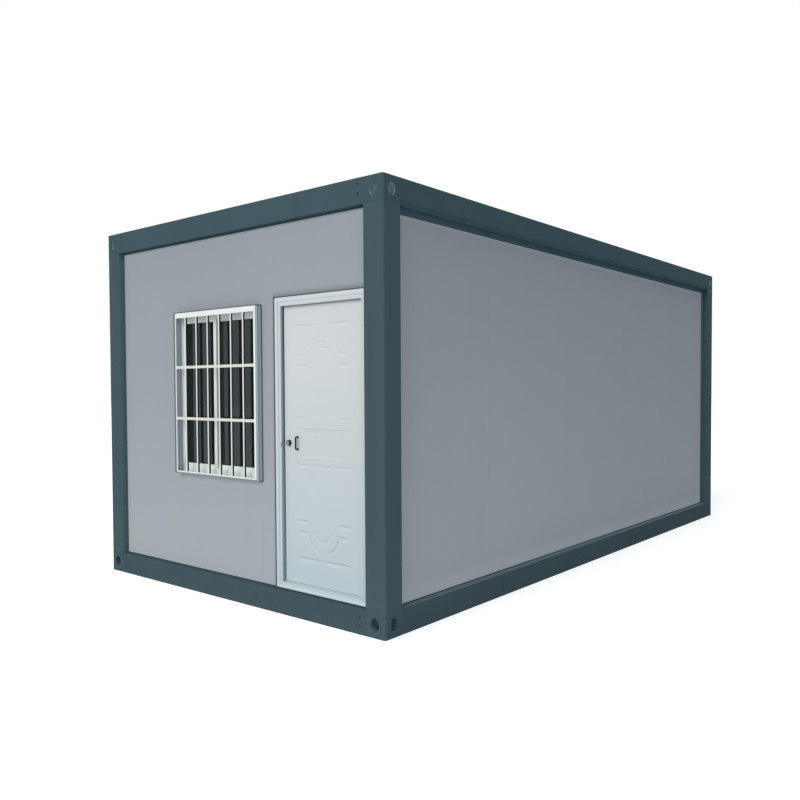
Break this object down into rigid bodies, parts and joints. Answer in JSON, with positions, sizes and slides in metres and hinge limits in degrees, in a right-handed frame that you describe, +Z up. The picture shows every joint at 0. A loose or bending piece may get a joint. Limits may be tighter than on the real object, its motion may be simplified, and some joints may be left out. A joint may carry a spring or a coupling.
{
  "type": "container tiny house",
  "caption": "Flat-pack container cabin: steel frame with hollow corner blocks, flat sandwich panel walls, a hinged end door and a barred sliding end window.",
  "frame": {"origin": "on the ground at the centre of the plan, in the middle of the four anchor holes", "axes": "+X towards the long side beside the door's hinges, -Y out of the door end, +Z up"},
  "size_m": [3, 5.865, 2.77],
  "materials": {
    "frame_steel": "satin paint, slate blue-grey",
    "joist_steel": "matt primer, grey",
    "wall_sheet": "satin colour-coated sheet, pale grey",
    "roof_skin": "satin colour-coated sheet, pale grey",
    "ceiling_sheet": "matt white sheet",
    "floor_sheet": "matt vinyl on fibre cement board",
    "door_paint": "satin white paint on pressed steel",
    "lock_metal": "dark brushed",
    "hinge_steel": "satin white paint",
    "window_plastic": "gloss white extrusion",
    "window_glass": "tinted, polished",
    "guard_paint": "gloss white enamel"
  },
  "bodies": {
    "cabin": {"base_corner_front_right": "frame_steel", "base_corner_front_left": "frame_steel", "base_corner_rear_right": "frame_steel", "base_corner_rear_left": "frame_steel", "roof_corner_front_right": "frame_steel", "roof_corner_front_left": "frame_steel", "roof_corner_rear_right": "frame_steel", "roof_corner_rear_left": "frame_steel", "post_front_right": "frame_steel", "post_front_left": "frame_steel", "post_rear_right": "frame_steel", "post_rear_left": "frame_steel", "base_beam_front": "frame_steel", "base_beam_rear": "frame_steel", "base_beam_right": "frame_steel", "base_beam_left": "frame_steel", "roof_beam_front": "frame_steel", "roof_beam_rear": "frame_steel", "roof_beam_right": "frame_steel", "roof_beam_left": "frame_steel", "floor_joists": "joist_steel", "floor_board": "floor_sheet", "roof_joists": "joist_steel", "ceiling": "ceiling_sheet", "roof_sheet": "roof_skin", "left_wall": "wall_sheet", "right_wall": "wall_sheet", "rear_wall": "wall_sheet", "front_wall_left": "wall_sheet", "front_wall_middle": "wall_sheet", "front_wall_at_window": "wall_sheet", "front_wall_over_door": "wall_sheet", "wall_head_trims": "frame_steel", "door_frame": "door_paint", "door_hinge_pins": "hinge_steel", "window_frame": "window_plastic", "window_sash_left": "window_plastic", "window_sash_right": "window_plastic", "window_panes": "window_glass", "window_guard": "guard_paint"},
    "door": {"door_leaf": "door_paint", "door_pull_handle": "lock_metal", "door_lock_knob": "lock_metal", "door_hinge_barrels": "hinge_steel"}
  },
  "joints": [
    {"name": "door_hinge", "type": "hinge", "parent": "cabin", "child": "door", "pos_m": [1.2845, -2.88, 1.132], "axis": [0, 0, 1], "range_deg": [0, 110]}
  ]
}
